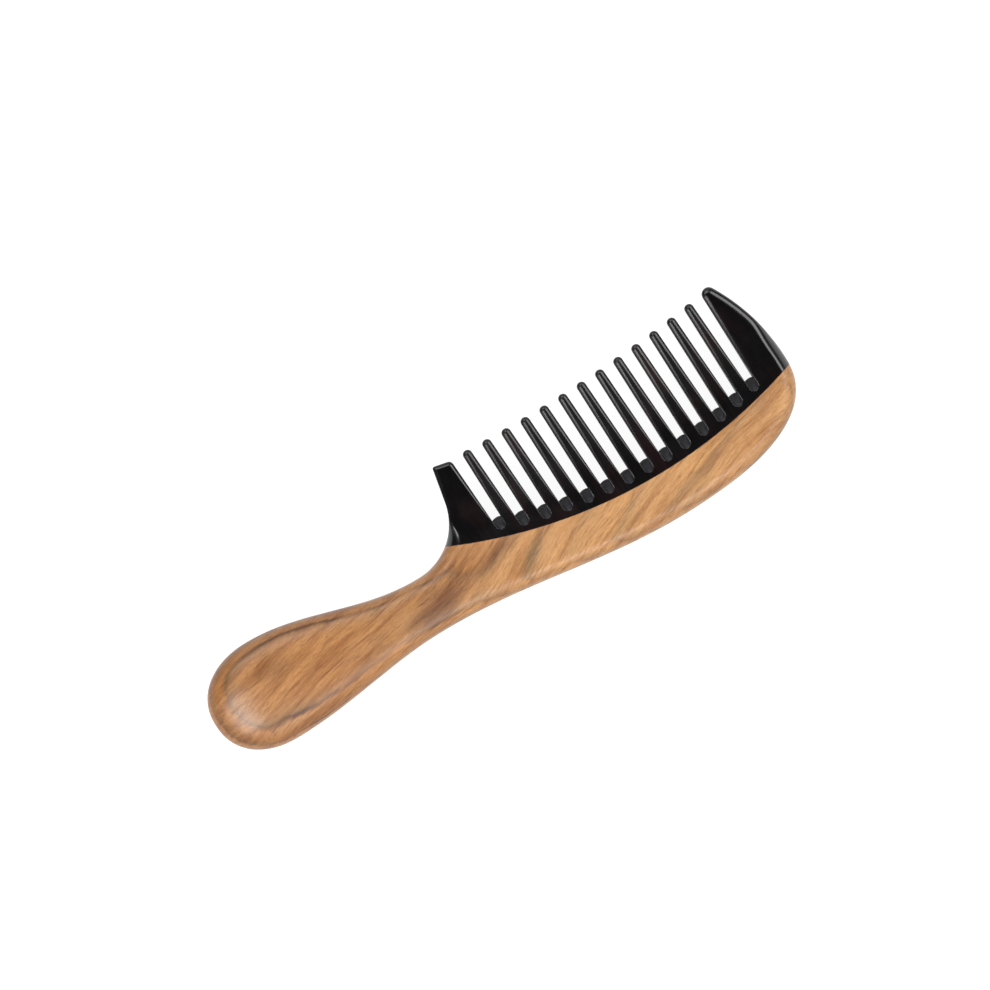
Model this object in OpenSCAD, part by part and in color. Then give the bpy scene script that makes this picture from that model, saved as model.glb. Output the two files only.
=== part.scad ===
// Handled hair comb: a horn tooth plate, glued with a tongue into a one-piece wooden handle
// and back. It is laid out with x = 0 at the handle's end and y = 0 at the tips of the two
// broad end teeth, and is then moved so that its box stands on z = 0, centred on the origin.

/* [Overall] */
// Length from the handle's end to the far end of the head
comb_length = 200; // [196:1:206]
// Height of the head, from the tips of the end teeth to the lowest place of the back
head_height = 52.6; // [51:0.2:55]

/* [Handle] */
// Width of the rounded grip
grip_width = 32; // [28:0.5:35]
// Thickness of the rounded grip
grip_thickness = 15; // [12:0.5:18]
// Distance from the handle's end to the grip's widest place
grip_reach = 20; // [17:0.5:23]
// Width of the narrowest place of the handle
neck_width = 17.1; // [15:0.1:19]
// Thickness of the handle at its narrowest place
neck_thickness = 11.5; // [10:0.5:13]
// Radius of the hollow between the neck and the first end tooth
throat_radius = 18.5; // [17.5:0.1:19.5]

/* [Back] */
// Thickness of the head, wood and horn alike
head_thickness = 9.5; // [8:0.5:11]
// Radius of the arc on which the horn meets the wood
seam_radius = 156.5; // [154:0.5:159]

/* [Teeth] */
// Number of gaps between the teeth
gap_count = 14; // [12:1:14]
// Distance from one tooth to the next
tooth_pitch = 6.51; // [6.3:0.01:6.55]
// Width of a gap at the tips
gap_at_tips = 3.8; // [3.4:0.1:4]
// Width of a gap at its root
gap_at_root = 2.8; // [2.6:0.1:3.2]
// Thickness of the plate at the tips
tip_thickness = 2.8; // [2:0.1:4]
// Depth of the solid band of horn, from the joint to the roots of the gaps
band_depth = 6; // [5:0.1:7]
// How far the slanting cut at each root runs on into the band at the faces
root_bevel = 4.2; // [3:0.1:4.4]

/* [Joint] */
// How deep the horn's tongue reaches into the wood
tongue_depth = 4; // [3:0.5:5]
// Thickness of the tongue
tongue_thickness = 3; // [2:0.5:4]
// Thickness of the glue film between horn and wood
glue_film = 0.1; // [0.08:0.01:0.2]

/* [Hidden] */
$fn = 96;
half_head = head_thickness / 2;
clearance = 1;

// The handle's axis drops from the grip to the neck
grip_axis_y = -29.1;
axis_drop = 4.8;
axis_drop_from = 16;
axis_drop_to = 80;
neck_x = 73;
grip_end_depth = 17;
grip_end_power = 2.2;
handle_power = 2.5;
head_power = 2;
handle_edge = 0.48;

// The back: it starts under the neck, and a superellipse closes its far end
back_from = 66;
back_level_from = 105;
back_blend = 12;
end_centre = [comb_length - 45, -29];
end_semi = [comb_length - end_centre[0], head_height + end_centre[1]];
end_power = 2.5;
end_core = 0.2;

// The throat: an arc, and a straight line from it to the tip of the first end tooth
throat_x = 74.5;
throat_lean = 12.9;

// The seam and the tongue, which stops short of the outline at both ends
seam_centre = [comb_length - 44, seam_radius - 38.5];
tongue_from_x = 92;
tongue_to_x = comb_length - 7;

// The teeth: their tips lie on a shallow arc, and the last end tooth has a round back
first_gap_x = 102.65;
tip_arc_x = comb_length - 56;
tip_arc_y = -2.9;
tip_arc_radius = 450;
tip_round = (tooth_pitch - gap_at_tips) / 2;
tip_spare = 0.08;
horn_back_radius = 60;
horn_back_centre = [comb_length - horn_back_radius, -29];
last_tip_round = 2.1;
corner_round = 0.8;
first_tooth_drop = 1.2;
edge_radius = half_head + 0.3;

// The plate's thickness, by the distance from the seam's centre: level over the band, then
// tapering in two steps to the tips
root_rho = seam_radius - band_depth;
knee_rho = root_rho - 17;
tip_rho = root_rho - 40;
knee_share = 0.25;
bevel_rho = root_rho + root_bevel;

// How finely the handle's skin is divided
skin_rows = 16;
first_station = 0.01;
grip_stations = 12;
neck_stations = 14;
throat_stations = 8;
back_stations = 10;
end_stations = 14;

function clamp(t) = max(0, min(1, t));
function ease(a, b, t) = a + (b - a) * (1 - cos(180 * clamp(t))) / 2;
function mix(a, b, t) = a + (b - a) * t;
// A quarter of a superellipse: 0 at u = 0, rising to a level 1 at u = 1
function bulge(u, p) = pow(1 - pow(1 - clamp(u), p), 1 / p);
function arc_y(centre, radius, x) = centre[1] - sqrt(max(0, pow(radius, 2) - pow(x - centre[0], 2)));

function grip_half_width(x) = x < grip_reach
    ? grip_width / 2 * bulge(x / grip_reach, grip_end_power)
    : ease(grip_width, neck_width, (x - grip_reach) / (neck_x - grip_reach)) / 2;
function handle_axis(x) =
    grip_axis_y - ease(0, axis_drop, (x - axis_drop_from) / (axis_drop_to - axis_drop_from));
function handle_top(x) = handle_axis(x) + grip_half_width(x);
throat_centre = [throat_x, handle_top(throat_x) + throat_radius];

// The wooden blank's lower and upper limits at x; its top stands above the seam, to be cut
back_start_y = handle_axis(back_from) - grip_half_width(back_from);
function bottom_y(x) = x < back_from
    ? handle_axis(x) - grip_half_width(x)
    : x < end_centre[0]
        ? ease(back_start_y, -head_height, (x - back_from) / (end_centre[0] - back_from))
        : end_centre[1] - end_semi[1] * bulge((comb_length - x) / end_semi[0], end_power);
function seam_y(x) = arc_y(seam_centre, seam_radius, x);
function blank_top(x) = x < throat_x
    ? handle_top(x)
    : min(arc_y(throat_centre, throat_radius, min(x, throat_x + throat_radius)),
          seam_y(max(x, throat_x)) + 4);

// Distances of a point in from the throat and from the lower and far edges
function from_throat(x, y) = x < throat_x
    ? blank_top(x) - y
    : norm([x, y] - throat_centre) - throat_radius;
function from_back_edge(x, y) =
    let (u = max(x - end_centre[0], 0) / end_semi[0],
         v = max(end_centre[1] - y, 0) / end_semi[1],
         p = end_power,
         rho = pow(pow(u, p) + pow(v, p), 1 / p))
    x < end_centre[0]
        ? y - bottom_y(x)
        : rho < end_core
            ? end_semi[1] * (1 - rho)
            : (1 - rho) * pow(rho, p - 1)
              / norm([pow(u, p - 1) / end_semi[0], pow(v, p - 1) / end_semi[1]]);

// 1 on the round handle, and 0 on the level head and all along the seam
function handle_share(x, y) =
    (1 - ease(0, 1, (x - back_from) / (back_level_from - back_from)))
    * ease(0, 1, (norm([x, y] - seam_centre) - seam_radius) / back_blend);
function handle_half_thickness(x) =
    ease(grip_thickness, neck_thickness, (x - grip_reach) / (neck_x - grip_reach)) / 2
    * bulge(x / grip_end_depth, grip_end_power);

function blank_half_z(x, y) =
    let (share = handle_share(x, y),
         height = blank_top(min(x, throat_x)) - bottom_y(min(x, throat_x)),
         edge = mix(half_head, handle_edge * height, share),
         power = mix(head_power, handle_power, share))
    mix(half_head, handle_half_thickness(x), share)
        * bulge(from_throat(x, y) / edge, power) * bulge(from_back_edge(x, y) / edge, power);

stations = concat(
    [first_station],
    [for (i = [1:grip_stations]) grip_reach * (1 - cos(90 * i / grip_stations))],
    [for (i = [1:neck_stations]) mix(grip_reach, throat_x, i / neck_stations)],
    [for (i = [1:throat_stations]) throat_x + throat_radius * i / throat_stations],
    [for (i = [1:back_stations])
        mix(throat_x + throat_radius, end_centre[0], i / back_stations)],
    [for (i = [1:end_stations]) end_centre[0] + end_semi[0] * sin(89 * i / end_stations)]);

function skin_ring(x) =
    let (rows = [for (k = [0:skin_rows])
        mix(bottom_y(x), blank_top(x), (1 - cos(180 * k / skin_rows)) / 2)])
    concat([for (y = rows) [x, y, blank_half_z(x, y)]],
           [for (k = [skin_rows - 1:-1:1]) [x, rows[k], -blank_half_z(x, rows[k])]]);

// A closed skin over rings that all have the same number of points
module loft(rings) {
    n = len(rings[0]);
    last = len(rings) - 1;
    points = [for (ring = rings) each ring];
    sides = [for (i = [0:last - 1]) for (k = [0:n - 1])
        let (a = i * n + k, b = i * n + (k + 1) % n)
        each [[a, b, b + n], [a, b + n, a + n]]];
    ends = [[for (k = [n - 1:-1:0]) k], [for (k = [0:n - 1]) last * n + k]];
    polyhedron(points, concat(sides, ends));
}

module blank() {
    loft([for (x = stations) skin_ring(x)]);
}

// Moves the layout to its place: the box stands on z = 0, centred on the origin
module placed() {
    translate([-comb_length / 2, head_height / 2, grip_thickness / 2])
        children();
}

// Everything on the teeth's side of the seam, moved into the wood by the margin
module above_seam(margin) {
    translate([seam_centre[0], seam_centre[1], -grip_thickness])
        cylinder(h = 2 * grip_thickness, r = seam_radius + margin);
}

// The tongue, or with a margin the groove that holds it and its glue
module tongue(margin) {
    from_angle = 180 + acos((seam_centre[0] - tongue_from_x) / seam_radius);
    to_angle = 360 - acos((tongue_to_x - seam_centre[0]) / seam_radius);
    spare = margin / seam_radius * 180 / PI;
    half = tongue_thickness / 2 + margin;
    translate(seam_centre)
        rotate([0, 0, from_angle - spare])
            rotate_extrude(angle = to_angle - from_angle + 2 * spare)
                translate([seam_radius - clearance, -half])
                    square([tongue_depth + margin + clearance, 2 * half]);
}

// ---- The horn plate's outline ----

function gap_x(k) = first_gap_x + k * tooth_pitch;
function tooth_x(k) = gap_x(k) + tooth_pitch / 2;
function tip_y(x) = tip_arc_y + pow(x - tip_arc_x, 2) / (2 * tip_arc_radius);

// The straight line from the throat's arc to the tip of the first end tooth
throat_line_from = throat_centre + throat_radius * [cos(throat_lean), -sin(throat_lean)];
function throat_line_x(y) = throat_line_from[0] + (y - throat_line_from[1]) * tan(throat_lean);

// The inner edges of the two end teeth, level with the tips
first_edge_x = gap_x(0) - gap_at_tips / 2;
last_edge_x = gap_x(gap_count - 1) + gap_at_tips / 2;

// The plate before its gaps are sawn: the first end tooth has a sloping top
module plate_outline() {
    intersection() {
        translate(seam_centre)
            circle(r = seam_radius);
        polygon([[throat_x, 0],
                 [throat_line_x(0) + corner_round, 0],
                 [first_edge_x - corner_round, -first_tooth_drop],
                 [gap_x(0), -first_tooth_drop],
                 [gap_x(0), 0],
                 [comb_length, 0],
                 [comb_length, -head_height],
                 [throat_x, -head_height]]);
    }
}

// One gap, from its round end in the band to past the tips
module gap_shape(k) {
    x = gap_x(k);
    root_half = gap_at_root / 2;
    end_y = arc_y(seam_centre, bevel_rho - root_half, x);
    translate([x, end_y])
        circle(r = root_half);
    polygon([[x - root_half, end_y],
             [x + root_half, end_y],
             [x + gap_at_tips / 2, clearance],
             [x - gap_at_tips / 2, clearance]]);
}

// Takes off what stands above and beside a disc, to round a tooth's tip
module tip_cut(centre, radius, left, right) {
    difference() {
        translate(centre - [left, 0])
            square([left + right, head_height]);
        translate(centre)
            circle(r = radius + tip_spare);
    }
}

module tip_cuts() {
    half = tooth_pitch / 2;
    for (k = [0:gap_count - 2])
        tip_cut([tooth_x(k), tip_y(tooth_x(k)) - tip_round], tip_round, half, half);
    tip_cut([first_edge_x - corner_round, -first_tooth_drop - corner_round],
            corner_round, 0, half);
    tip_cut([last_edge_x + last_tip_round, -last_tip_round],
            last_tip_round, half, half + last_tip_round);
}

// ---- The horn plate's thickness and edges ----

module plate_taper() {
    tip = tip_thickness / 2;
    knee = mix(tip, half_head, knee_share);
    translate(seam_centre)
        rotate_extrude()
            polygon([[tip_rho, -tip],
                     [knee_rho, -knee],
                     [root_rho, -half_head],
                     [seam_radius + clearance, -half_head],
                     [seam_radius + clearance, half_head],
                     [root_rho, half_head],
                     [knee_rho, knee],
                     [tip_rho, tip]]);
}

// The far edge is rounded over its whole thickness
module far_edge() {
    inner = horn_back_radius - edge_radius;
    translate(horn_back_centre)
        rotate_extrude() {
            translate([0, -head_thickness])
                square([inner, 2 * head_thickness]);
            intersection() {
                translate([inner, 0])
                    circle(r = edge_radius);
                translate([0, -head_thickness])
                    square([horn_back_radius + clearance, 2 * head_thickness]);
            }
        }
}

// What the throat takes away: an arc and a straight run with the same rounded profile
module throat_profile() {
    difference() {
        translate([0, -head_thickness])
            square([throat_radius + edge_radius, 2 * head_thickness]);
        translate([throat_radius + edge_radius, 0])
            circle(r = edge_radius);
    }
}

module throat_cut() {
    translate(throat_centre)
        rotate_extrude()
            throat_profile();
    translate(throat_centre)
        rotate([0, 0, -throat_lean])
            rotate([-90, 0, 0])
                linear_extrude(2 * throat_radius)
                    throat_profile();
}

// The sawn gaps: at their roots they slant from both faces to an edge in mid-thickness
module gaps() {
    half = half_head + clearance;
    reach = root_bevel * half / half_head;
    intersection() {
        translate(seam_centre)
            rotate_extrude()
                polygon([[tip_rho, -half],
                         [root_rho + reach, -half],
                         [root_rho, 0],
                         [root_rho + reach, half],
                         [tip_rho, half]]);
        translate([0, 0, -head_thickness])
            linear_extrude(2 * head_thickness)
                for (k = [0:gap_count - 1])
                    gap_shape(k);
    }
}

// ---- The pieces ----

module wooden_handle() {
    color("#c1894f")
        placed()
            difference() {
                blank();
                above_seam(glue_film);
                tongue(glue_film);
            }
}

module horn_tooth_plate() {
    color("#171213")
        placed() {
            difference() {
                intersection() {
                    translate([0, 0, -head_thickness])
                        linear_extrude(2 * head_thickness)
                            plate_outline();
                    plate_taper();
                    far_edge();
                }
                throat_cut();
                gaps();
                translate([0, 0, -head_thickness])
                    linear_extrude(2 * head_thickness)
                        tip_cuts();
            }
            tongue(0);
        }
}

module glue_line() {
    color("#8a6a3c")
        placed()
            difference() {
                intersection() {
                    blank();
                    union() {
                        above_seam(glue_film);
                        tongue(glue_film);
                    }
                }
                above_seam(0);
                tongue(0);
            }
}

wooden_handle();
horn_tooth_plate();
glue_line();
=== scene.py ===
"""Looks of the handled hair comb: a figured wooden handle and a polished horn tooth plate."""
import math

import bpy
import numpy as np
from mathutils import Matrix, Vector


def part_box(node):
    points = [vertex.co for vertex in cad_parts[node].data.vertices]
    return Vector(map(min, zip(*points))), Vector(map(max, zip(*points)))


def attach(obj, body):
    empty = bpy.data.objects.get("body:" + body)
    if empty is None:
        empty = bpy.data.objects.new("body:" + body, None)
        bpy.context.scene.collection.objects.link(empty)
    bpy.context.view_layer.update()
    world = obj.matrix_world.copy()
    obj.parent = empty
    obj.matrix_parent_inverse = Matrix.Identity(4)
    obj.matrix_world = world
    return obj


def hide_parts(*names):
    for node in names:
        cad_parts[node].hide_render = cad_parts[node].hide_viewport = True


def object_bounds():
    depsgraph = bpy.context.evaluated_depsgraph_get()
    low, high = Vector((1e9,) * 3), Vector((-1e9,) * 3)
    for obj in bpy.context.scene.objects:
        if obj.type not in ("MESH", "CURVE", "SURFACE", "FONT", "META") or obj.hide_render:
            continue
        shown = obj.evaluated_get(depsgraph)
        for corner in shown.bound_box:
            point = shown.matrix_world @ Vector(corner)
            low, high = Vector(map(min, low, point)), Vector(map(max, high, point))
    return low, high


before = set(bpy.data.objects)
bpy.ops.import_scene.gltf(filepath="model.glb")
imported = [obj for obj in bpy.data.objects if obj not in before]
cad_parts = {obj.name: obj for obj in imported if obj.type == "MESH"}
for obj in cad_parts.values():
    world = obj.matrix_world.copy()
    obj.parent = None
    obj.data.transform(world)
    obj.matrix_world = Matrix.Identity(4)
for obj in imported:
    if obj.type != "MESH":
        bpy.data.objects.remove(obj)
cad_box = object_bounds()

# ---- The comb's own layout, in millimetres ----
# x runs from the handle's end, y from the tip of the last tooth, z from the middle plane.
# The shapes repeat the rules of the CAD model, and the frame gives the overall sizes.
MM = 0.001
LOW, HIGH = [np.array(corner) for corner in cad_box]
LENGTH = (HIGH[0] - LOW[0]) / MM
HEAD_HEIGHT = (HIGH[1] - LOW[1]) / MM
GRIP_THICKNESS = (HIGH[2] - LOW[2]) / MM
PLATE_LOW, PLATE_HIGH = [np.array(corner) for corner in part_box("horn_tooth_plate")]
HALF_HEAD = (PLATE_HIGH[2] - PLATE_LOW[2]) / MM / 2
ORIGIN = np.array([LOW[0], HIGH[1], (LOW[2] + HIGH[2]) / 2])

GRIP_WIDTH = 32.0
GRIP_REACH = 20.0
GRIP_AXIS_Y = -29.1
AXIS_DROP, AXIS_DROP_FROM, AXIS_DROP_TO = 4.8, 16.0, 80.0
NECK_X, NECK_WIDTH, NECK_THICKNESS = 73.0, 17.1, 11.5
GRIP_END_DEPTH, GRIP_END_POWER = 17.0, 2.2
HANDLE_POWER, HEAD_POWER, HANDLE_EDGE = 2.5, 2.0, 0.48
BACK_FROM, BACK_LEVEL_FROM, BACK_BLEND = 66.0, 105.0, 12.0
END_CENTRE = np.array([LENGTH - 45.0, -29.0])
END_SEMI = np.array([LENGTH - END_CENTRE[0], HEAD_HEIGHT + END_CENTRE[1]])
END_POWER, END_CORE = 2.5, 0.2
THROAT_X, THROAT_RADIUS, THROAT_LEAN = 74.5, 18.5, math.radians(12.9)

SEAM_RADIUS = 156.5
SEAM_CENTRE = np.array([LENGTH - 44.0, SEAM_RADIUS - 38.5])
TONGUE_FROM, TONGUE_TO = 92.0, LENGTH - 7.0
TONGUE_DEPTH, TONGUE_HALF, GLUE = 4.0, 1.5, 0.1

GAP_COUNT, PITCH, FIRST_GAP_X = 14, 6.51, 102.65
GAP_TIP_HALF, GAP_ROOT_HALF, GAP_TIP_Y = 1.9, 1.4, 1.0
TIP_HALF = 1.4
ROOT_RHO = SEAM_RADIUS - 6.0
BEVEL_RHO = ROOT_RHO + 4.2
TAPER_REACH = 40.0
TIP_ARC_X, TIP_ARC_Y, TIP_ARC_RADIUS = LENGTH - 56.0, -2.9, 450.0
FAR_RADIUS = 60.0
FAR_CENTRE = np.array([LENGTH - FAR_RADIUS, -29.0])
LAST_TIP_ROUND = 2.1
CORNER_ROUND, INNER_CORNER = 0.8, 1.5
# How far below the last end tooth's tip the first one's outer and inner corners lie
OUTER_DROP, FIRST_DROP = 0.05, 1.2
# The length over which the tongue rises at its ends
TONGUE_RAMP = 0.4
# The plate leaves its level band over SOFT_START to each side, and then falls with TAPER_POWER
SOFT_START, TAPER_POWER = 3.0, 2.5
# The seam ends somewhere in this last stretch of the comb
SEAM_END_REACH = 5.0
# A distance too small to see, and one larger than any on the comb
HAIR, FAR_AWAY = 0.003, 99.0

# How finely the wood's sheet is divided along each stretch of the outline and from edge to edge,
# and how much its columns crowd together at the sharp edge where the seam starts
GRIP_COLUMNS, NECK_COLUMNS, THROAT_COLUMNS = 40, 60, 16
SEAM_COLUMNS, BACK_COLUMNS, FAR_COLUMNS = 40, 50, 90
WOOD_ROWS = 72
SEAM_CROWDING = 1.6
# Enough halvings for a place to be exact
HALVINGS = 60


def ease(a, b, t):
    """From a at t = 0 to b at t = 1, with a soft start and a soft end."""
    return a + (b - a) * (1 - np.cos(np.pi * np.clip(t, 0, 1))) / 2


def mix(a, b, t):
    """From a at t = 0 to b at t = 1, in a straight line."""
    return a + (b - a) * t


def bulge(u, power):
    """A quarter of a superellipse: 0 at u = 0, rising to a level 1 at u = 1."""
    return (1 - (1 - np.clip(u, 0, 1)) ** power) ** (1 / power)


def arc_y(centre, radius, x):
    """The lower side of a circle."""
    return centre[1] - np.sqrt(np.maximum(0, radius ** 2 - (x - centre[0]) ** 2))


def distance(x, y, centre):
    return np.hypot(x - centre[0], y - centre[1])


def crossing(low, high, is_before):
    """Halves the stretch from low to high until only the place where is_before ends is left."""
    for _ in range(HALVINGS):
        middle = (low + high) / 2
        low, high = (middle, high) if is_before(middle) else (low, middle)
    return middle


# ---- The wooden blank ----

def grip_half_width(x):
    end = GRIP_WIDTH / 2 * bulge(x / GRIP_REACH, GRIP_END_POWER)
    rest = ease(GRIP_WIDTH, NECK_WIDTH, (x - GRIP_REACH) / (NECK_X - GRIP_REACH)) / 2
    return np.where(x < GRIP_REACH, end, rest)


def handle_axis(x):
    return GRIP_AXIS_Y - ease(0, AXIS_DROP, (x - AXIS_DROP_FROM) / (AXIS_DROP_TO - AXIS_DROP_FROM))


def handle_top(x):
    return handle_axis(x) + grip_half_width(x)


def handle_bottom(x):
    return handle_axis(x) - grip_half_width(x)


THROAT_CENTRE = np.array([THROAT_X, float(handle_top(np.float64(THROAT_X))) + THROAT_RADIUS])
BACK_START_Y = float(handle_bottom(np.float64(BACK_FROM)))


def bottom_y(x):
    back = ease(BACK_START_Y, -HEAD_HEIGHT, (x - BACK_FROM) / (END_CENTRE[0] - BACK_FROM))
    end = END_CENTRE[1] - END_SEMI[1] * bulge((LENGTH - x) / END_SEMI[0], END_POWER)
    return np.where(x < BACK_FROM, handle_bottom(x), np.where(x < END_CENTRE[0], back, end))


def seam_y(x, margin=0.0):
    return arc_y(SEAM_CENTRE, SEAM_RADIUS + margin, x)


def from_throat(x, y):
    """How far in from the handle's upper edge, or from the throat's arc, a place is."""
    return np.where(x < THROAT_X, handle_top(x) - y, distance(x, y, THROAT_CENTRE) - THROAT_RADIUS)


def from_back_edge(x, y):
    """How far in from the wood's lower edge and its far end a place is."""
    u = np.maximum(x - END_CENTRE[0], 0) / END_SEMI[0]
    v = np.maximum(END_CENTRE[1] - y, 0) / END_SEMI[1]
    p = END_POWER
    rho = (u ** p + v ** p) ** (1 / p)
    slope = np.hypot(u ** (p - 1) / END_SEMI[0], v ** (p - 1) / END_SEMI[1])
    outer = (1 - rho) * rho ** (p - 1) / np.maximum(slope, 1e-9)
    inner = END_SEMI[1] * (1 - rho)
    return np.where(x < END_CENTRE[0], y - bottom_y(x), np.where(rho < END_CORE, inner, outer))


def handle_share(x, y):
    """1 on the round handle, and 0 on the level head and all along the seam."""
    along = 1 - ease(0, 1, (x - BACK_FROM) / (BACK_LEVEL_FROM - BACK_FROM))
    return along * ease(0, 1, (distance(x, y, SEAM_CENTRE) - SEAM_RADIUS) / BACK_BLEND)


def blank_half_z(x, y):
    """Half the wood's thickness at a place."""
    share = handle_share(x, y)
    x_narrow = np.minimum(x, THROAT_X)
    edge = mix(HALF_HEAD, HANDLE_EDGE * (handle_top(x_narrow) - bottom_y(x_narrow)), share)
    edge = np.maximum(edge, HAIR)
    power = mix(HEAD_POWER, HANDLE_POWER, share)
    thickness = ease(GRIP_THICKNESS, NECK_THICKNESS, (x - GRIP_REACH) / (NECK_X - GRIP_REACH)) / 2
    thickness = thickness * bulge(x / GRIP_END_DEPTH, GRIP_END_POWER)
    return (mix(HALF_HEAD, thickness, share) * bulge(from_throat(x, y) / edge, power)
            * bulge(from_back_edge(x, y) / edge, power))


# ---- Building a piece from its upper half ----

# The places of a piece's materials among its material slots
POLISHED, SAWN = 0, 1
# Points that agree to this many decimals of a millimetre are one point
MERGE_DECIMALS = 4


class HalfSkin:
    """Grids of points above the middle plane, closed by their mirror image below it."""

    def __init__(self):
        self.points = []
        self.faces = []
        self.finishes = []

    def grid(self, points, flip=False, finish=POLISHED):
        """Adds an array of points (rows, columns, 3) as a sheet of quadrilaterals."""
        rows, columns = points.shape[:2]
        start = sum(len(block) for block in self.points)
        self.points.append(points.reshape(-1, 3))
        for i in range(rows - 1):
            for j in range(columns - 1):
                a = start + i * columns + j
                face = (a, a + 1, a + columns + 1, a + columns)
                self.faces.append(face[::-1] if flip else face)
                self.finishes.append(finish)

    def build(self, name):
        upper = np.concatenate(self.points)
        lower = upper * [1, 1, -1]
        count = len(upper)
        points = ORIGIN + np.concatenate([upper, lower]) * MM
        faces = self.faces + [tuple(count + k for k in face[::-1]) for face in self.faces]
        return joined_object(name, points, faces, self.finishes * 2)


def joined_object(name, points, faces, finishes):
    """Merges points that meet, drops faces that have shrunk to nothing, and shades smooth."""
    _, first, index = np.unique(np.round(points / MM, MERGE_DECIMALS), axis=0,
                                return_index=True, return_inverse=True)
    index = index.reshape(-1)
    kept = []
    for face, finish in zip(faces, finishes):
        corners = [int(index[k]) for k in face]
        corners = [c for i, c in enumerate(corners) if c != corners[i - 1]]
        if len(set(corners)) == len(corners) > 2:
            kept.append((corners, finish))
    mesh = bpy.data.meshes.new(name)
    mesh.from_pydata([tuple(p) for p in points[first]], [], [corners for corners, _ in kept])
    mesh.polygons.foreach_set("material_index", [finish for _, finish in kept])
    mesh.validate()
    mesh.shade_smooth()
    piece = bpy.data.objects.new(name, mesh)
    bpy.context.collection.objects.link(piece)
    return piece


def stack(*grids):
    return np.stack(np.broadcast_arrays(*grids), axis=-1)


def evenly(count):
    """From 0 to 1 in even steps."""
    return np.arange(count + 1) / count


def spaced(count):
    """From 0 to 1, close together at both ends."""
    return (1 - np.cos(np.pi * np.arange(count + 1) / count)) / 2


def slowing(count):
    """From 0 to 1, close together at the end."""
    return np.sin(np.pi / 2 * np.arange(count + 1) / count)


def joint_wall(x, z_top, margin, from_x, to_x):
    """The wall along the seam, from the upper edge to the middle plane, with the tongue."""
    half = np.minimum(TONGUE_HALF + margin, z_top * 0.5)
    inside = (np.clip((x - from_x) / TONGUE_RAMP, 0, 1)
              * np.clip((to_x - x) / TONGUE_RAMP, 0, 1))
    depth = TONGUE_DEPTH * inside + margin
    # Four rows: the face's edge, the foot of the tongue, its end, and the middle plane
    reach = np.array([0, 0, 1, 1])[:, None]
    height = np.array([[1], [0], [0], [0]]) * z_top + np.array([[0], [1], [1], [0]]) * half
    radius = SEAM_RADIUS + margin * (reach == 0) + depth * (reach == 1)
    angle = np.arctan2(seam_y(x, margin) - SEAM_CENTRE[1], x - SEAM_CENTRE[0])
    return stack(SEAM_CENTRE[0] + radius * np.cos(angle), SEAM_CENTRE[1] + radius * np.sin(angle),
                 height)


def make_wooden_handle():
    def is_before_seam(x):
        return arc_y(THROAT_CENTRE, THROAT_RADIUS, x) < seam_y(x, GLUE)

    def is_along_seam(x):
        return bottom_y(np.float64(x)) < seam_y(x, GLUE)

    seam_start = crossing(THROAT_X, THROAT_X + THROAT_RADIUS, is_before_seam)
    seam_end = crossing(LENGTH - SEAM_END_REACH, LENGTH, is_along_seam)

    grip = GRIP_REACH * (1 - np.cos(np.pi / 2 * np.arange(GRIP_COLUMNS) / GRIP_COLUMNS))
    neck = np.linspace(GRIP_REACH, THROAT_X, NECK_COLUMNS)
    throat = mix(THROAT_X, seam_start, evenly(THROAT_COLUMNS)[1:])
    seam_front = mix(seam_start, BACK_LEVEL_FROM, evenly(SEAM_COLUMNS)[1:] ** SEAM_CROWDING)
    back = mix(BACK_LEVEL_FROM, END_CENTRE[0], evenly(BACK_COLUMNS)[1:])
    end = mix(END_CENTRE[0], seam_end, slowing(FAR_COLUMNS)[1:])
    x = np.concatenate([grip, neck, throat, seam_front, back, end])
    above = np.where(x <= seam_start, arc_y(THROAT_CENTRE, THROAT_RADIUS, x), seam_y(x, GLUE))
    top = np.where(x <= THROAT_X, handle_top(x), above)
    low = bottom_y(x)
    rows = spaced(WOOD_ROWS)[:, None]
    xx = np.broadcast_to(x, (len(rows), len(x)))
    yy = low + (top - low) * rows
    zz = blank_half_z(xx, yy)
    zz[0] = 0
    zz[-1, x <= seam_start] = 0
    zz[:, 0] = 0
    zz[:, -1] = 0
    skin = HalfSkin()
    skin.grid(stack(xx, yy, zz))
    at_seam = x >= seam_start
    wall = joint_wall(x[at_seam], zz[-1, at_seam], GLUE, TONGUE_FROM - GLUE, TONGUE_TO + GLUE)
    wall[0] = stack(xx, yy, zz)[-1, at_seam]
    skin.grid(wall)
    return skin.build("handle")


# ---- The horn tooth plate ----

def gap_x(k):
    return FIRST_GAP_X + k * PITCH


def gap_end_y(k):
    """The height of the half circle's centre at the foot of a gap."""
    shorter = FIRST_GAP_RISE if k == 0 else 0.0
    return arc_y(SEAM_CENTRE, BEVEL_RHO - GAP_ROOT_HALF, gap_x(k)) + shorter


def ridge_y(k):
    """Where the slanting cuts of both faces meet at the foot of a gap."""
    return arc_y(SEAM_CENTRE, ROOT_RHO, gap_x(k)) - RIDGE_DROP


def gap_half(k, y):
    """Half a gap's width, which grows steadily from its foot to just beyond the tips."""
    end = gap_end_y(k)
    return mix(GAP_ROOT_HALF, GAP_TIP_HALF, np.maximum(y - end, 0) / (GAP_TIP_Y - end))


def from_gap(k, x, y):
    """How far outside a gap a place is."""
    end = gap_end_y(k)
    beside = np.abs(x - gap_x(k)) - gap_half(k, y)
    return np.where(y > end, beside, distance(x, y, (gap_x(k), end)) - GAP_ROOT_HALF)


def tip_y(x):
    return TIP_ARC_Y + (x - TIP_ARC_X) ** 2 / (2 * TIP_ARC_RADIUS)


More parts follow.
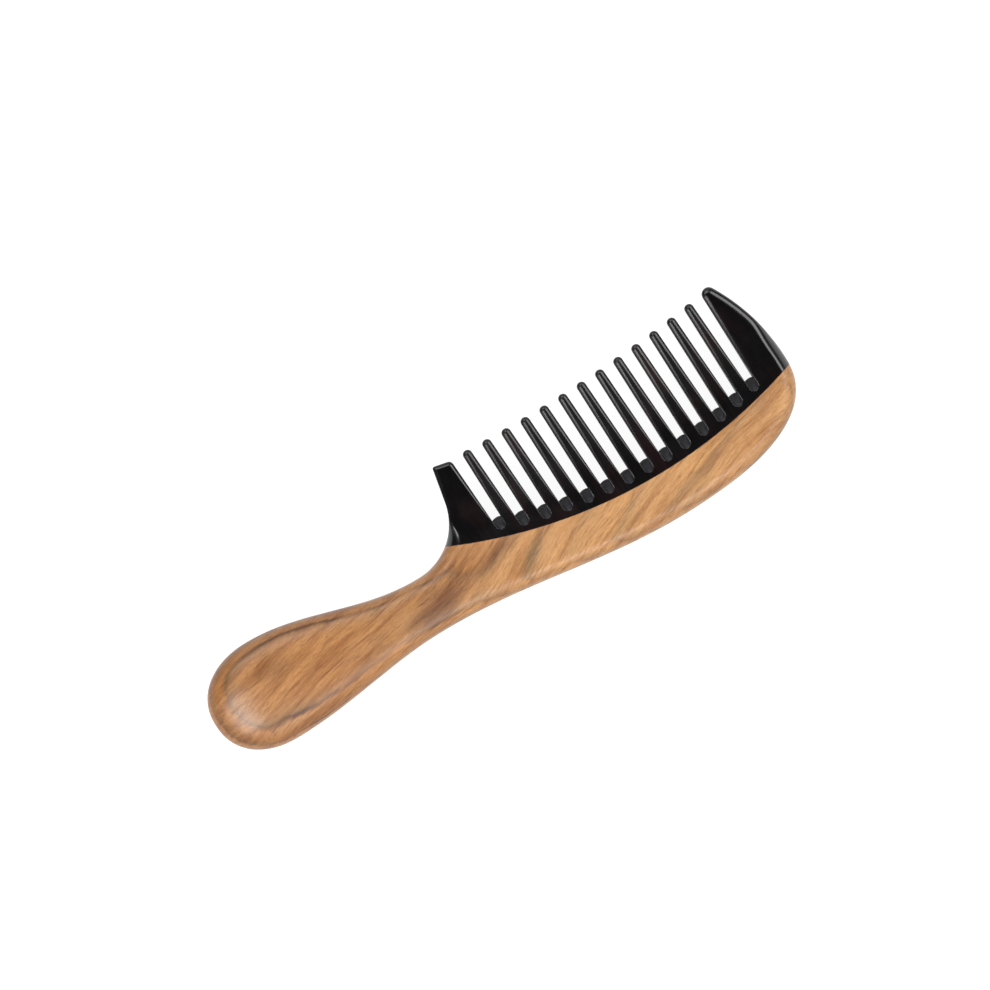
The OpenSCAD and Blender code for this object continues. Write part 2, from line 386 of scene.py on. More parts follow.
def plate_half(x, y):
    """Half the plate's thickness: level over the band, then hollow down to the tips."""
    t = ROOT_RHO - distance(x, y, SEAM_CENTRE)
    start = (t + SOFT_START) ** 2 / (4 * SOFT_START)
    t = np.where(t < -SOFT_START, 0, np.where(t < SOFT_START, start, t))
    return TIP_HALF + (HALF_HEAD - TIP_HALF) * (1 - np.clip(t / TAPER_REACH, 0, 1)) ** TAPER_POWER


def tip_share(x, y):
    """0 on the band and 1 at the tips."""
    rho = distance(x, y, SEAM_CENTRE)
    tip_rho = distance(x, tip_y(x), SEAM_CENTRE)
    return np.clip((ROOT_RHO - rho) / (ROOT_RHO - tip_rho), 0, 1)


# The widths of the rounded edges: at the roots of the gaps, at the tips and along the outer edges
EDGE_ROOT, EDGE_TIP, EDGE_OUTER = 0.15, 1.3, 3.2
# How deep the edges fall for their width, and how round they are: those of the teeth are nearly
# straight, as if filed
TOOTH_EDGE_FALL, OUTER_EDGE_FALL = 0.65, 0.5
TOOTH_EDGE_POWER, OUTER_EDGE_POWER = 1.5, 2.0
# The share of the way to the tips over which the outer edges leave the roundness of the wood
OUTER_BLEND = 0.45
# Height above the seam over which the round throat edge turns into a tooth's edge
THROAT_BLEND = 10.0
# The cuts at the foot of each gap: how far their ridge stands below the line of the roots, how
# far it rises in the gap's middle, and how much shorter the first gap is
RIDGE_DROP, ROOT_CROWN, FIRST_GAP_RISE = 0.3, 0.3, 0.6
# How finely the plate's sheets are divided
ROWS_BAND, ROWS_BEVEL, ROWS_TOOTH, ROWS_WALL = 12, 10, 44, 6
TOOTH_COLUMNS, END_COLUMNS, ROOT_COLUMNS = 24, 44, 20
# How many points the end teeth's curves have before the rows and columns are spread along them
THROAT_POINTS, LEAN_POINTS, CORNER_POINTS, FAR_POINTS, TIP_POINTS = 60, 20, 12, 80, 40


def rounded(x, y, d, outer=0.0):
    """The plate's upper face at a place that is d in from the nearest edge. Outer is 1 for the
    roundness of an outer edge and 0 for that of a tooth's edge."""
    half = plate_half(x, y)
    share = tip_share(x, y)
    away = ease(0, 1, share / OUTER_BLEND)
    outer_width = mix(HALF_HEAD, EDGE_OUTER, away)
    outer_depth = mix(HALF_HEAD, EDGE_OUTER * OUTER_EDGE_FALL, away)
    width = mix(EDGE_ROOT, EDGE_TIP, share ** 0.5)
    depth = np.minimum(mix(width * TOOTH_EDGE_FALL, outer_depth, outer), half)
    width = mix(width, outer_width, outer)
    return half - depth + depth * bulge(d / width, mix(TOOTH_EDGE_POWER, OUTER_EDGE_POWER, outer))


def side_curve(k, side, tip):
    """Points (n, 2) along a gap's side, from the seam to the height where the tip begins."""
    end, ridge = gap_end_y(k), ridge_y(k)
    band = mix(seam_y(gap_x(k) + side * GAP_ROOT_HALF), end, spaced(ROWS_BAND))
    bevel = mix(end, ridge, evenly(ROWS_BEVEL)[1:])
    rise = mix(ridge, tip, slowing(ROWS_TOOTH)[1:])
    y = np.concatenate([band, bevel, rise])
    return np.stack([gap_x(k) + side * gap_half(k, y), y], axis=1)


def along(curve, shares):
    """Points at the given shares of a polyline's length."""
    steps = np.hypot(*np.diff(curve, axis=0).T)
    length = np.concatenate([[0], np.cumsum(steps)])
    want = shares * length[-1]
    return np.stack([np.interp(want, length, curve[:, 0]), np.interp(want, length, curve[:, 1])], 1)


def patch(left, right, bottom, top):
    """A sheet between four curves of points (n, 2) that meet at their ends: (rows, columns, 2)."""
    steps = np.hypot(*np.diff(left, axis=0).T) + np.hypot(*np.diff(right, axis=0).T)
    v = (np.concatenate([[0], np.cumsum(steps)]) / steps.sum())[:, None, None]
    steps = np.hypot(*np.diff(bottom, axis=0).T) + np.hypot(*np.diff(top, axis=0).T)
    u = (np.concatenate([[0], np.cumsum(steps)]) / steps.sum())[None, :, None]
    between = (1 - u) * left[:, None] + u * right[:, None] + (1 - v) * bottom + v * top
    corners = ((1 - u) * (1 - v) * left[0] + u * (1 - v) * right[0]
               + (1 - u) * v * left[-1] + u * v * right[-1])
    return between - corners


def bevel_side(k, side):
    """Heights of the slanting root cut along a gap's side."""
    start_z = rounded(gap_x(k) + side * GAP_ROOT_HALF, gap_end_y(k), 0.0)
    return start_z * (1 - evenly(ROWS_BEVEL))


def tooth_wall(k, side, edge):
    """The side of a tooth in a gap, from its upper edge down to the root cut or middle plane."""
    edge = edge[ROWS_BAND:]
    floor = np.zeros(len(edge))
    floor[:ROWS_BEVEL + 1] = bevel_side(k, side)
    z = mix(edge[:, 2:3], floor[:, None], evenly(ROWS_WALL))
    return stack(edge[:, :1], edge[:, 1:2], z)


def tip_wall(edge):
    """The rounded end of a tooth, from its upper edge down to the middle plane."""
    return stack(edge[:, :1], edge[:, 1:2], edge[:, 2:3] * (1 - evenly(ROWS_WALL)))


def along_seam(x_from, x_to, columns):
    """Points (n, 2) on the seam between two places, at the given shares of the way."""
    x = mix(x_from, x_to, columns)
    return np.stack([x, seam_y(x)], axis=1)


def middle_tooth(skin, k, seam_edge):
    radius = PITCH / 2 - GAP_TIP_HALF
    centre_y = tip_y(gap_x(k) + PITCH / 2) - radius
    left = side_curve(k, 1, centre_y)
    right = side_curve(k + 1, -1, centre_y)
    count = TOOTH_COLUMNS
    x = (left[-1, 0] + right[-1, 0]) / 2
    half = (right[-1, 0] - left[-1, 0]) / 2
    angle = np.pi * (1 - evenly(count))
    top = np.stack([x + half * np.cos(angle), centre_y + radius * np.sin(angle)], axis=1)
    bottom = along_seam(left[0, 0], right[0, 0], spaced(count))
    xy = patch(left, right, bottom, top)
    px, py = xy[..., 0], xy[..., 1]
    d = np.minimum(from_gap(k, px, py), from_gap(k + 1, px, py))
    above = np.clip((py - centre_y) / radius, 0, None)
    d_tip = half - np.hypot(px - x, above * half)
    d = keep_inside(np.where(py > centre_y, np.minimum(d, d_tip), d))
    d[-1] = 0
    d[ROWS_BAND:, 0] = 0
    d[ROWS_BAND:, -1] = 0
    points = stack(px, py, rounded(px, py, d))
    add_tooth(skin, points, (k, k + 1), seam_edge)


def add_tooth(skin, points, gaps, seam_edge):
    """A tooth's face, its sides in the gaps to its left and right (None: no gap), and its tip."""
    skin.grid(points)
    if gaps[0] is not None:
        skin.grid(tooth_wall(gaps[0], 1, points[:, 0]), flip=True, finish=SAWN)
    if gaps[1] is not None:
        skin.grid(tooth_wall(gaps[1], -1, points[:, -1]), finish=SAWN)
    skin.grid(tip_wall(points[-1]), flip=True)
    seam_edge.append(points[0])


def gap_root(skin, k, seam_edge):
    """The band below a gap and the slanting cut at the gap's root."""
    angle = np.pi * (1 + evenly(ROOT_COLUMNS))
    x = gap_x(k) + GAP_ROOT_HALF * np.cos(angle)
    end = gap_end_y(k) + GAP_ROOT_HALF * np.sin(angle)
    end[[0, -1]] = gap_end_y(k)
    rows = spaced(ROWS_BAND)[:, None]
    xx = np.broadcast_to(x, (len(rows), len(x)))
    yy = mix(seam_y(x), end, rows)
    d = from_gap(k, xx, yy)
    d[-1] = 0
    face = stack(xx, yy, rounded(xx, yy, d))
    skin.grid(face)
    t = evenly(ROWS_BEVEL)[:, None]
    start_z = face[-1, :, 2]
    crown = ROOT_CROWN * (1 - ((x - gap_x(k)) / GAP_ROOT_HALF) ** 2)
    y_cut = mix(end, ridge_y(k) + crown, t)
    z_cut = start_z * (1 - t)
    x_cut = np.broadcast_to(x, y_cut.shape).copy()
    for side, column in ((-1, 0), (1, -1)):
        x_cut[:, column] = gap_x(k) + side * gap_half(k, y_cut[:, column])
    skin.grid(stack(x_cut, y_cut, z_cut), finish=SAWN)
    seam_edge.append(face[0])


def throat_curve(from_x, to_y):
    """The outer edge of the first end tooth: the throat's arc and then a straight line."""
    start = np.arctan2(seam_y(from_x) - THROAT_CENTRE[1], from_x - THROAT_CENTRE[0])
    angles = np.linspace(start, -THROAT_LEAN, THROAT_POINTS)
    arc = THROAT_CENTRE + THROAT_RADIUS * np.stack([np.cos(angles), np.sin(angles)], axis=1)
    y = np.linspace(arc[-1, 1], to_y, LEAN_POINTS)[1:]
    x = arc[-1, 0] + (y - arc[-1, 1]) * math.tan(THROAT_LEAN)
    return np.concatenate([arc, np.stack([x, y], axis=1)])


def from_throat_line(x, y):
    """How far in from the outer edge of the first end tooth a place is."""
    normal = np.array([math.cos(THROAT_LEAN), -math.sin(THROAT_LEAN)])
    dx, dy = x - THROAT_CENTRE[0], y - THROAT_CENTRE[1]
    up = dx * math.sin(THROAT_LEAN) + dy * math.cos(THROAT_LEAN)
    flat = dx * normal[0] + dy * normal[1] - THROAT_RADIUS
    return np.where(up > 0, flat, np.hypot(dx, dy) - THROAT_RADIUS)


def arc_points(centre, radius, start, stop, count):
    """Points (n, 2) on an arc between two angles in degrees."""
    angle = np.radians(np.linspace(start, stop, count))
    return np.asarray(centre) + radius * np.stack([np.cos(angle), np.sin(angle)], axis=1)


def keep_inside(d):
    """Keeps every point that isn't on the outline a hair away from it."""
    d[:, 1:-1] = np.maximum(d[:, 1:-1], HAIR)
    return np.maximum(d, 0)


def shares_of(curve):
    """How far each point of a curve (n, 2) lies along it, from 0 to 1."""
    return share_across(curve[None])[0]


def share_across(points):
    """How far each point of a sheet lies from its first to its last column, from 0 to 1."""
    steps = np.hypot(np.diff(points[..., 0], axis=1), np.diff(points[..., 1], axis=1))
    length = np.concatenate([np.zeros((len(points), 1)), np.cumsum(steps, axis=1)], axis=1)
    return length / length[:, -1:]


def first_end_tooth(skin, seam_edge):
    def is_before_seam(x):
        return arc_y(THROAT_CENTRE, THROAT_RADIUS, x) < seam_y(x)

    start_x = crossing(THROAT_X, THROAT_X + THROAT_RADIUS, is_before_seam)
    corner_y = -FIRST_DROP - INNER_CORNER
    right = side_curve(0, -1, corner_y)
    corner = (right[-1, 0] - INNER_CORNER, corner_y)
    outer = throat_curve(start_x, -OUTER_DROP - CORNER_ROUND)
    lean = math.degrees(THROAT_LEAN)
    outer_corner = (outer[-1, 0] + CORNER_ROUND * math.cos(THROAT_LEAN),
                    outer[-1, 1] - CORNER_ROUND * math.sin(THROAT_LEAN))
    between = math.hypot(corner[0] - outer_corner[0], corner[1] - outer_corner[1])
    slope = math.degrees(math.atan2(corner[1] - outer_corner[1], corner[0] - outer_corner[0])
                         - math.asin((CORNER_ROUND - INNER_CORNER) / between))
    top = np.concatenate([
        arc_points(outer_corner, CORNER_ROUND, 180 - lean, 90 + slope, CORNER_POINTS),
        arc_points(corner, INNER_CORNER, 90 + slope, 0, CORNER_POINTS)])
    left = along(outer, shares_of(right))
    columns = spaced(END_COLUMNS)
    bottom = along_seam(start_x, right[0, 0], columns)
    xy = patch(left, right, bottom, along(top, columns))
    px, py = xy[..., 0], xy[..., 1]
    direction = np.array([math.cos(math.radians(slope)), math.sin(math.radians(slope))])
    d_top = INNER_CORNER - ((py - corner[1]) * direction[0] - (px - corner[0]) * direction[1])
    d_corner = np.where((py > corner[1]) & (px > corner[0]),
                        INNER_CORNER - distance(px, py, corner), FAR_AWAY)
    d = np.minimum.reduce([from_gap(0, px, py), from_throat_line(px, py), d_top, d_corner])
    d = keep_inside(d)
    d[-1] = 0
    d[:, 0] = 0
    d[ROWS_BAND:, -1] = 0
    outer_share = ((1 - ease(0, 1, share_across(xy)))
                   * (1 - ease(0, 1, (py - seam_y(px)) / THROAT_BLEND)))
    z = rounded(px, py, d, outer_share)
    z[:, 0] = 0
    add_tooth(skin, stack(px, py, z), (None, 0), seam_edge)


def last_end_tooth(skin, seam_edge):
    def is_inside(x):
        return distance(x, seam_y(x), FAR_CENTRE) < FAR_RADIUS

    k = GAP_COUNT - 1
    end_x = crossing(LENGTH - SEAM_END_REACH, LENGTH, is_inside)
    left = side_curve(k, 1, -LAST_TIP_ROUND)
    tip = np.array([left[-1, 0] + LAST_TIP_ROUND, -LAST_TIP_ROUND])
    lean = math.degrees(math.atan2(tip[1] - FAR_CENTRE[1], tip[0] - FAR_CENTRE[0]))
    seam_angle = math.degrees(math.atan2(seam_y(end_x) - FAR_CENTRE[1], end_x - FAR_CENTRE[0]))
    outer = arc_points(FAR_CENTRE, FAR_RADIUS, seam_angle, lean, FAR_POINTS)
    right = along(outer, shares_of(left))
    top = arc_points(tip, LAST_TIP_ROUND, 180, lean, TIP_POINTS)
    columns = spaced(END_COLUMNS)
    bottom = along_seam(left[0, 0], end_x, columns)
    top = along(np.concatenate([top[:-1], right[-1:]]), columns)
    xy = patch(left, right, bottom, top)
    px, py = xy[..., 0], xy[..., 1]
    angle = np.degrees(np.arctan2(py - tip[1], px - tip[0]))
    at_tip = (angle > lean) & (py > tip[1])
    d_tip = np.where(at_tip, LAST_TIP_ROUND - distance(px, py, tip), FAR_AWAY)
    d_far = FAR_RADIUS - distance(px, py, FAR_CENTRE)
    d = keep_inside(np.minimum.reduce([from_gap(k, px, py), d_far, d_tip]))
    d[-1] = 0
    d[:, -1] = 0
    d[ROWS_BAND:, 0] = 0
    z = rounded(px, py, d, ease(0, 1, share_across(xy)))
    z[:, -1] = 0
    add_tooth(skin, stack(px, py, z), (k, None), seam_edge)


def make_tooth_plate():
    skin = HalfSkin()
    seam_edge = []
    first_end_tooth(skin, seam_edge)
    for k in range(GAP_COUNT):
        gap_root(skin, k, seam_edge)
        if k < GAP_COUNT - 1:
            middle_tooth(skin, k, seam_edge)
    last_end_tooth(skin, seam_edge)
    edge = np.concatenate([block[:-1] for block in seam_edge] + [seam_edge[-1][-1:]])
    wall = joint_wall(edge[:, 0], edge[:, 2], 0.0, TONGUE_FROM, TONGUE_TO)
    wall[0] = edge
    skin.grid(wall, flip=True)
    return skin.build("tooth_plate")


# ---- Materials ----

def screen(red, green, blue):
    """A colour as a screen shows it, from 0 to 255, as the share of light that it reflects."""
    return tuple(((c / 255 + 0.055) / 1.055) ** 2.4 for c in (red, green, blue)) + (1.0,)


class NodeTree:
    """A tree of shader nodes. Each call adds a node and returns its output; an argument is a
    number, a vector or another node's output."""

    def __init__(self, tree):
        self.tree = tree

    def node(self, kind, values, output=0, **settings):
        node = self.tree.nodes.new(kind)
        for key, value in settings.items():
            setattr(node, key, value)
        for key, value in values.items():
            self.put(node, key, value)
        return node.outputs[output]

    def put(self, node, key, value):
        if isinstance(value, bpy.types.NodeSocket):
            self.tree.links.new(value, node.inputs[key])
        else:
            node.inputs[key].default_value = value

    def math(self, operation, a, b=0.0, c=0.0):
        return self.node("ShaderNodeMath", {0: a, 1: b, 2: c}, operation=operation)

    def add(self, a, b):
        return self.math("ADD", a, b)

    def times(self, a, b):
        return self.math("MULTIPLY", a, b)

    def vector(self, operation, a, b, output=0):
        return self.node("ShaderNodeVectorMath", {0: a, 1: b}, output, operation=operation)

    def split(self, place):
        node = self.node("ShaderNodeSeparateXYZ", {0: place}).node
        return node.outputs[:3]

    def join(self, x, y, z):
        return self.node("ShaderNodeCombineXYZ", {0: x, 1: y, 2: z})

    def fade(self, value, low, high, to_low=0.0, to_high=1.0):
        """Goes smoothly from one value at low to another at high."""
        return self.node("ShaderNodeMapRange", {0: value, 1: low, 2: high, 3: to_low, 4: to_high},
                         interpolation_type="SMOOTHSTEP")


class Shading(NodeTree):
    """The node tree of a material for a surface."""

    def __init__(self, name):
        self.material = bpy.data.materials.new(name)
        self.material.use_nodes = True
        super().__init__(self.material.node_tree)
        self.shader = self.tree.nodes["Principled BSDF"]

    def set(self, **values):
        """Sets the shader's inputs, by names such as Base_Color."""
        for key, value in values.items():
            self.put(self.shader, key.replace("_", " "), value)

    def layout(self):
        """The place on the object, in millimetres, in the comb's own layout."""
        place = self.node("ShaderNodeTexCoord", {}, "Object")
        return self.vector("MULTIPLY", self.vector("SUBTRACT", place, tuple(ORIGIN)), (1 / MM,) * 3)

    def noise(self, place, size, detail=2.0, roughness=0.5):
        """Noise from 0 to 1 whose spots have the given size in mm, one number or (x, y, z)."""
        sizes = size if isinstance(size, tuple) else (size,) * 3
        at = self.vector("DIVIDE", place, sizes)
        return self.node("ShaderNodeTexNoise", {"Vector": at, "Scale": 1.0, "Detail": detail,
                                                "Roughness": roughness})

    def blend(self, share, a, b):
        return self.node("ShaderNodeMix", {0: share, 6: a, 7: b}, 2, data_type="RGBA")

    def stain_or_shade(self, share, tone, red, green, blue):
        """Multiplies a colour by a tint by its share: stains in the material, and also painted
        shade.
        """
        return self.node("ShaderNodeMix", {0: share, 6: tone, 7: (red, green, blue, 1)}, 2,
                         data_type="RGBA", blend_type="MULTIPLY")

    def curve(self, x, points, width, height):
        """A smooth curve through the points (x, y), whose sides are width and height."""
        at = self.times(x, 1 / width)
        out = self.node("ShaderNodeFloatCurve", {0: 1.0, 1: at})
        line = out.node.mapping.curves[0].points
        for px, py in points[1:-1]:
            line.new(px / width, py / height)
        line[0].location = (points[0][0] / width, points[0][1] / height)
        line[-1].location = (points[-1][0] / width, points[-1][1] / height)
        out.node.mapping.update()
        return self.times(out, height)

    def spot(self, place, centre, reach, lean):
        """1 at a centre, fading to 0 at the edge of an ellipsoid that leans in the face."""
        shifted = self.vector("SUBTRACT", place, centre)
        turned = self.node("ShaderNodeVectorRotate", {0: shifted, 3: math.radians(-lean)},
                           rotation_type="Z_AXIS")
        away = self.vector("LENGTH", self.vector("DIVIDE", turned, reach), (0, 0, 0), "Value")
        return self.fade(away, 1.0, 0.15)

    def bump(self, height, depth):
        """Raises the surface by up to depth millimetres where height is 1."""
        self.set(Normal=self.node("ShaderNodeBump", {"Height": height, "Distance": depth * MM}))


# How the grain runs: the trace of a growth layer, rising towards the far end of the head, and the
# sides of the box that the trace fits
GRAIN_RUN = [(0, 0), (55, 9), (80, 11), (92, 15), (104, 22), (122, 34), (150, 47), (178, 56),
             (200, 61)]
GRAIN_BOX = (200, 65)
# The growth layers: their spacing in mm, their slopes along x and y in the handle, and in the head
# their slope across the run of the grain and their shift
LAYER_SPACING = 3.0
HANDLE_TILT = (0.03, 0.04)
HEAD_TILT, HEAD_SHIFT = -0.27, -12.6
# Darker heart wood, as (centre, reach, lean, strength): at the neck, below the throat, trailing
# off into the head, and a long eye on the grip
HEART_SPOTS = [((74, -35.5, 4), (17, 6.5, 9), 8, 1.0), ((84, -29, 4), (18, 7, 9), 10, 0.2),
               ((98, -31.5, 4), (18, 4, 9), 14, 0.5), ((24, -24.5, 7), (11, 4.5, 6), -4, 0.5)]
# A patch of olive wood in the back, as (centre, reach, lean)
OLIVE_SPOT = ((105.5, -37.5, 4.75), (10, 2.6, 4), 38)


def wood_fibres(s, place, run):
    """Fibres drawn out along the grain: broad ones, streaks, short ones and fine ones."""
    x, y, z = s.split(place)
    bend = s.times(s.noise(place, (24.0, 12.0, 12.0), 1.0), 4.0)
    strand = s.add(s.add(y, bend), s.add(s.times(run, -0.5), s.times(x, -0.12)))
    fibre_place = s.join(x, strand, z)
    return (s.noise(fibre_place, (30.0, 2.6, 3.0), 2.0),
            s.noise(fibre_place, (9.0, 0.8, 1.6), 3.0, 0.6),
            s.noise(fibre_place, (5.0, 0.34, 0.7), 3.0, 0.6),
            s.noise(fibre_place, (1.6, 0.18, 0.3), 2.0, 0.6))


def growth_layers(s, place, run, on_head, warp):
    """The dark line at the end of each layer, and the shadow that fades away from it. The layers
    are nearly level in the handle, so that they follow its outline, and tilted in the head, where
    they cross its face as slanting bands."""
    x, y, z = s.split(place)
    level = s.add(s.times(x, HANDLE_TILT[0]), s.times(y, HANDLE_TILT[1]))
    tilted = s.add(s.times(s.math("SUBTRACT", y, run), HEAD_TILT), HEAD_SHIFT)
    tilt = s.node("ShaderNodeMix", {0: on_head, 2: level, 3: tilted})
    layers = s.times(s.add(s.add(z, tilt), s.add(warp, -1.0)), 1 / LAYER_SPACING)
    phase = s.math("FRACT", layers)
    strength = s.fade(s.noise(place, (16.0, 10.0, 8.0), 1.0), 0.35, 0.65, 0.4, 1.0)
    from_line = s.math("ABSOLUTE", s.math("SUBTRACT", phase, 0.5))
    line = s.times(s.fade(from_line, 0.34, 0.5), strength)
    line = s.times(line, s.fade(x, 5.0, 20.0, 0.15, 1.0))
    line = s.times(line, s.fade(x, 56.0, 90.0, 1.0, 0.3))
    shadow = s.times(s.math("POWER", s.math("SUBTRACT", 1.0, phase), 2.5), s.fade(phase, 0.0, 0.06))
    shadow = s.times(shadow, strength)
    shadow = s.times(shadow, s.fade(x, 56.0, 76.0, 1.0, 0.7))
    shadow = s.times(shadow, s.fade(x, 184.0, 195.0, 1.0, 0.2))
    return line, shadow


def figured_wood():
    """Waxed wood with dark growth layers, fine interlocked fibres, and darker heart wood."""
    s = Shading("figured_wood")
    place = s.layout()
    x, _, z = s.split(place)
    run = s.curve(x, GRAIN_RUN, *GRAIN_BOX)
    slow = s.noise(place, 26.0, 1.0)
    wavy = s.noise(place, (9.0, 5.0, 6.0), 3.0)
    on_head = s.fade(x, 72.0, 108.0)
    broad, streaks, short, fine = wood_fibres(s, place, run)
    warp = s.add(s.add(s.times(slow, 1.6), s.times(wavy, 0.8)), s.times(streaks, 0.6))
    line, shadow = growth_layers(s, place, run, on_head, warp)

    # The heart wood is broken up by the fibres
    dark = 0.0
    for centre, reach, lean, strength in HEART_SPOTS:
        dark = s.add(dark, s.times(s.spot(place, centre, reach, lean), strength))
    fibrous = s.add(s.times(streaks, 0.7), s.times(broad, 0.7))
    heart = s.times(dark, s.fade(fibrous, 0.4, 0.9, 0.7, 1.0))

    # Painted shade: darker and browner where the faces turn down to the edges, where less light
    # falls
    top = s.fade(x, 20.0, 105.0, GRIP_THICKNESS / 2, HALF_HEAD)
    depth = s.times(s.math("SUBTRACT", top, s.math("ABSOLUTE", z)), s.add(on_head, 1.0))
    painted_rim_shade = s.fade(depth, 0.3, 3.0)

    # The base colour, paler towards the far end, under what the layers and fibres take from it
    tone = s.blend(s.fade(s.add(x, s.times(slow, 60.0)), 70.0, 150.0),
                   screen(180, 128, 79), screen(193, 145, 96))
    tone = s.stain_or_shade(s.fade(broad, 0.4, 0.7), tone, 0.74, 0.66, 0.62)
    # Painted shade along the edges, where the faces turn down
    tone = s.stain_or_shade(painted_rim_shade, tone, 0.8, 0.75, 0.66)
    tone = s.stain_or_shade(shadow, tone, 0.6, 0.72, 0.95)
    tone = s.stain_or_shade(line, tone, 0.3, 0.26, 0.26)
    tone = s.stain_or_shade(heart, tone, 0.28, 0.22, 0.3)
    tone = s.stain_or_shade(s.spot(place, *OLIVE_SPOT), tone, 0.72, 0.82, 0.92)
    tone = s.stain_or_shade(s.fade(streaks, 0.5, 0.75), tone, 0.66, 0.6, 0.56)
    tone = s.stain_or_shade(s.fade(streaks, 0.47, 0.25), tone, 1.25, 1.2, 1.15)
    tone = s.stain_or_shade(s.fade(short, 0.52, 0.7), tone, 0.74, 0.7, 0.68)
    tone = s.stain_or_shade(s.fade(fine, 0.5, 0.72), tone, 0.74, 0.7, 0.68)
    tone = s.stain_or_shade(s.fade(fine, 0.47, 0.28), tone, 1.2, 1.2, 1.2)
    s.set(Base_Color=tone, Roughness=s.fade(s.add(short, wavy), 0.6, 1.4, 0.26, 0.4))
    s.bump(s.add(s.add(short, streaks), s.times(fine, 0.5)), 0.012)
    return s.material


# How much rougher use has made the tips of the narrow teeth
WORN_ROUGHNESS = 0.09


def polished_horn():
    """Near-black horn with faint maroon clouds and fine polishing marks along the teeth."""
    s = Shading("polished_horn")
    place = s.layout()
    clouds = s.noise(place, (9.0, 26.0, 6.0), 3.0)
    marks = s.noise(place, (0.18, 9.0, 0.5), 2.0)
    smears = s.noise(place, 7.0, 3.0)
    tone = s.blend(s.fade(clouds, 0.45, 0.75), screen(6, 4, 5), screen(25, 11, 13))
    rough = s.fade(s.add(marks, smears), 0.7, 1.4, 0.18, 0.24)
    # The narrow teeth are a little duller from use than the end teeth and the band
    x, y, _ = s.split(place)
    narrow = s.times(s.fade(x, 99.0, 103.0), s.fade(x, 191.0, 189.0))
    worn = s.times(s.times(narrow, s.fade(y, -32.0, -16.0)), WORN_ROUGHNESS)
    s.set(Base_Color=tone, Specular_IOR_Level=0.7, Roughness=s.add(rough, worn))
    s.bump(marks, 0.0005)
    return s.material


def sawn_horn():
    """The cuts between the teeth: grey and matte, with the saw's marks across them."""
    s = Shading("sawn_horn")
    place = s.layout()
    marks = s.noise(place, (3.0, 0.22, 0.22), 3.0, 0.6)
    dust = s.noise(place, 0.9, 3.0)
    tone = s.blend(s.fade(s.add(marks, dust), 0.7, 1.3), screen(26, 25, 29), screen(52, 51, 58))
    s.set(Base_Color=tone, Roughness=s.fade(marks, 0.3, 0.7, 0.42, 0.62))
    s.bump(marks, 0.02)
    return s.material


def hide_glue():
    """The hairline of amber glue that shows between horn and wood."""
    s = Shading("hide_glue")
    place = s.layout()
    spots = s.noise(place, (3.0, 0.6, 0.6), 3.0)
    tone = s.blend(s.fade(spots, 0.35, 0.65), screen(70, 42, 22), screen(120, 80, 40))
    s.set(Base_Color=tone, Roughness=s.fade(spots, 0.3, 0.7, 0.35, 0.55))
    s.bump(spots, 0.01)
    return s.material


# ---- Camera, floor and lights ----

VIEW_CENTRE = ORIGIN + np.array([106.1, -17.08, 0]) * MM
VIEW_WIDTH = 291.8 * MM
VIEW_ROLL = math.radians(-33.25)
CAMERA_HEIGHT, CAMERA_REACH = 1.6, 20
SENSOR_WIDTH = 36
# The floor's half width, and how little it lies below the comb, so that they never share a plane
FLOOR_HALF, FLOOR_DROP = 3.0, 0.0002
FLOOR_GLOW = 0.92


def make_camera():
    camera = bpy.data.objects.new("camera", bpy.data.cameras.new("camera"))
    bpy.context.collection.objects.link(camera)
    camera.location = (VIEW_CENTRE[0], VIEW_CENTRE[1], ORIGIN[2] + CAMERA_HEIGHT)
    camera.rotation_euler = (0, 0, VIEW_ROLL)
    camera.data.sensor_width = SENSOR_WIDTH
    camera.data.lens = SENSOR_WIDTH * CAMERA_HEIGHT / VIEW_WIDTH
    camera.data.clip_end = CAMERA_REACH
    bpy.context.scene.camera = camera


def make_light(name, towards, tilt, size, power):
    """A soft box that faces the comb from LIGHT_DISTANCE away. Towards is its compass side in
    degrees from +X towards +Y, and tilt is how far it stands from straight above."""
    data = bpy.data.lights.new(name, "AREA")
    data.shape = "RECTANGLE"
    data.size, data.size_y = size
    data.energy = power
    light = bpy.data.objects.new(name, data)
    bpy.context.collection.objects.link(light)
    side, lean = math.radians(towards), math.radians(tilt)
    away = Vector((math.sin(lean) * math.cos(side), math.sin(lean) * math.sin(side),
                   math.cos(lean)))
    light.location = Vector(VIEW_CENTRE) + away * LIGHT_DISTANCE
    light.rotation_euler = away.to_track_quat("Z", "Y").to_euler()
    light.visible_camera = False


def make_floor():
    s = Shading("pale_floor")
    s.set(Base_Color=(0.25, 0.25, 0.25, 1), Roughness=0.9, Specular_IOR_Level=0.1)
    s.set(Emission_Color=(1, 1, 1, 1), Emission_Strength=FLOOR_GLOW)
    mesh = bpy.data.meshes.new("floor")
    corners = [(-1, -1), (1, -1), (1, 1), (-1, 1)]
    mesh.from_pydata([(x * FLOOR_HALF, y * FLOOR_HALF, LOW[2] - FLOOR_DROP) for x, y in corners],
                     [], [(0, 1, 2, 3)])
    floor = bpy.data.objects.new("floor", mesh)
    bpy.context.collection.objects.link(floor)
    mesh.materials.append(s.material)


# The studio's light by the sine of the height above the horizon: a pale backdrop, dim walls, a
# soft bright ring above them, and a dark ceiling where the camera is
STUDIO = [(0.0, 1.0), (0.11, 1.0), (0.15, 0.1), (0.33, 0.85), (0.79, 0.85), (0.86, 0.02)]
BACKDROP_TOP = 0.13
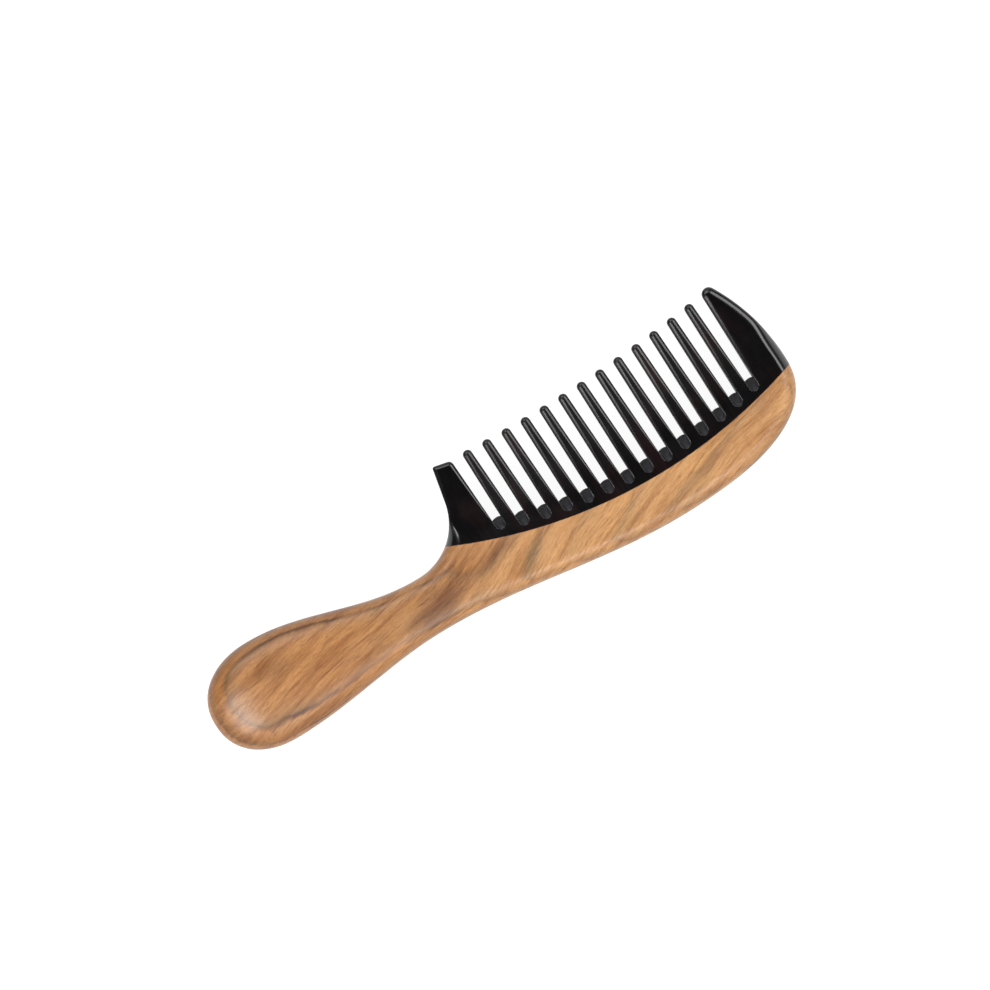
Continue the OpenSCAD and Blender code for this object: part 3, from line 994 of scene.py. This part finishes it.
# The compass sides where all above the backdrop is left dark, in degrees from +X towards +Y, with
# the cosines of the angles at which the dimming begins and is complete
DARK_SIDES = [(135, 0.74, 0.92), (20, 0.8, 0.95)]
DARK_LIGHT = 0.1


def make_world():
    world = bpy.data.worlds.new("studio")
    bpy.context.scene.world = world
    world.use_nodes = True
    w = NodeTree(world.node_tree)
    direction = w.node("ShaderNodeTexCoord", {}, "Generated")
    height = w.split(direction)[2]
    ramp = w.node("ShaderNodeValToRGB", {0: height})
    stops = ramp.node.color_ramp.elements
    while len(stops) < len(STUDIO):
        stops.new(0.5)
    for stop, (position, light) in zip(stops, STUDIO):
        stop.position = position
        stop.color = (light, light, light, 1)
    compass = w.vector("NORMALIZE", w.vector("MULTIPLY", direction, (1, 1, 0)), (0, 0, 0))
    ring = 1.0
    for angle, begins, complete in DARK_SIDES:
        side = math.radians(angle)
        facing = w.vector("DOT_PRODUCT", compass, (math.cos(side), math.sin(side), 0), "Value")
        ring = w.times(ring, w.fade(facing, begins, complete, 1.0, DARK_LIGHT))
    backdrop = w.math("LESS_THAN", height, BACKDROP_TOP)
    background = world.node_tree.nodes["Background"]
    w.put(background, "Strength", w.math("MAXIMUM", ring, backdrop))
    w.put(background, "Color", ramp)


# The soft boxes, as (name, compass side, tilt, size in metres, watts)
LIGHT_DISTANCE = 1.2
LIGHTS = [("far_box", 5, 48, (0.9, 0.45), 6), ("handle_box", 192, 33, (0.6, 0.55), 8.5),
          ("back_box", 275, 38, (0.9, 0.4), 3.5), ("tips_box", 95, 44, (0.9, 0.3), 2.2)]

make_camera()
make_floor()
make_world()
for light in LIGHTS:
    make_light(*light)
bpy.context.scene.view_settings.view_transform = "Standard"

# ---- The pieces ----

handle = make_wooden_handle()
handle.data.materials.append(figured_wood())
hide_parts("wooden_handle")
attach(handle, "root")

plate = make_tooth_plate()
plate.data.materials.append(polished_horn())
plate.data.materials.append(sawn_horn())
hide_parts("horn_tooth_plate")
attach(plate, "root")

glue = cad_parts["glue_line"].data.materials
glue.clear()
glue.append(hide_glue())
